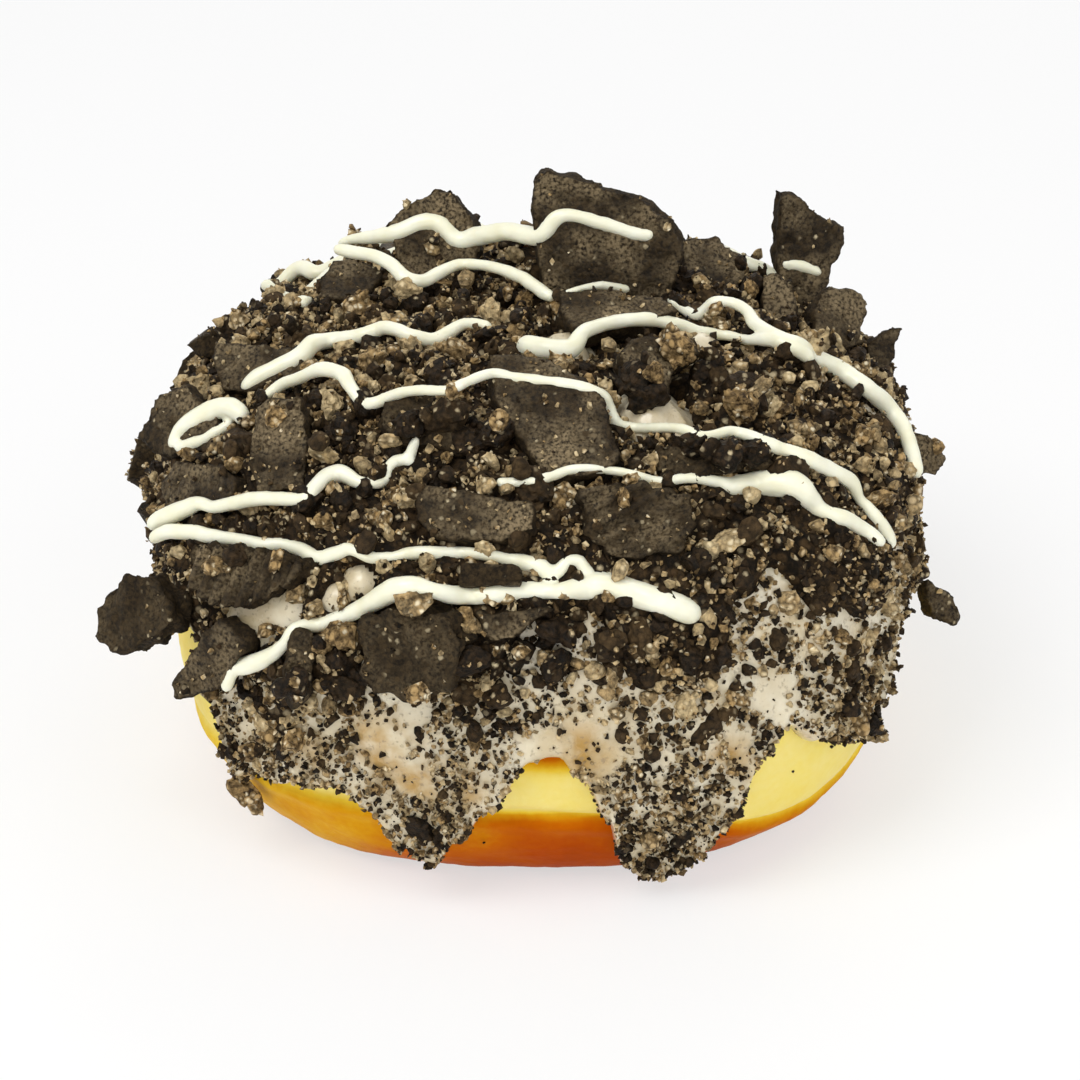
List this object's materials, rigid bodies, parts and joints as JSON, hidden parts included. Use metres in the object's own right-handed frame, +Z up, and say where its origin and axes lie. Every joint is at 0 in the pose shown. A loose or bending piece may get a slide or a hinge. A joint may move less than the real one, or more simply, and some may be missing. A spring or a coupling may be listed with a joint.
{
  "type": "iced doughnut with crushed biscuit topping",
  "caption": "Raised filled-style doughnut with icing drips, a thick coat of crushed dark biscuit, broken wafer pieces and a cream drizzle.",
  "frame": {"origin": "middle of the flat underside, on the surface that the doughnut rests on", "axes": "+Z up; -Y towards the side that the reference view shows; +X to that view's right"},
  "size_m": [0.1, 0.1001, 0.0687],
  "materials": {
    "fried_dough": "satin",
    "icing": "gloss",
    "biscuit_crumb": "matt",
    "biscuit_wafer": "matt",
    "drizzle": "gloss"
  },
  "bodies": {
    "root": {"dough": "fried_dough", "icing": "icing", "crumb_bed": "biscuit_crumb", "wafer_01": "biscuit_wafer", "wafer_02": "biscuit_wafer", "wafer_03": "biscuit_wafer", "wafer_04": "biscuit_wafer", "wafer_05": "biscuit_wafer", "wafer_06": "biscuit_wafer", "wafer_07": "biscuit_wafer", "wafer_08": "biscuit_wafer", "wafer_09": "biscuit_wafer", "wafer_10": "biscuit_wafer", "wafer_11": "biscuit_wafer", "wafer_12": "biscuit_wafer", "wafer_13": "biscuit_wafer", "wafer_14": "biscuit_wafer", "wafer_15": "biscuit_wafer", "wafer_16": "biscuit_wafer", "wafer_17": "biscuit_wafer", "wafer_18": "biscuit_wafer", "wafer_19": "biscuit_wafer", "wafer_20": "biscuit_wafer", "wafer_21": "biscuit_wafer", "wafer_22": "biscuit_wafer", "wafer_23": "biscuit_wafer", "wafer_24": "biscuit_wafer", "wafer_25": "biscuit_wafer", "wafer_26": "biscuit_wafer", "wafer_27": "biscuit_wafer", "wafer_28": "biscuit_wafer", "wafer_29": "biscuit_wafer", "wafer_30": "biscuit_wafer", "wafer_31": "biscuit_wafer", "wafer_32": "biscuit_wafer", "wafer_33": "biscuit_wafer", "wafer_34": "biscuit_wafer", "wafer_35": "biscuit_wafer", "wafer_36": "biscuit_wafer", "wafer_37": "biscuit_wafer", "wafer_38": "biscuit_wafer", "wafer_39": "biscuit_wafer", "wafer_40": "biscuit_wafer", "wafer_41": "biscuit_wafer", "wafer_42": "biscuit_wafer"}
  },
  "joints": []
}
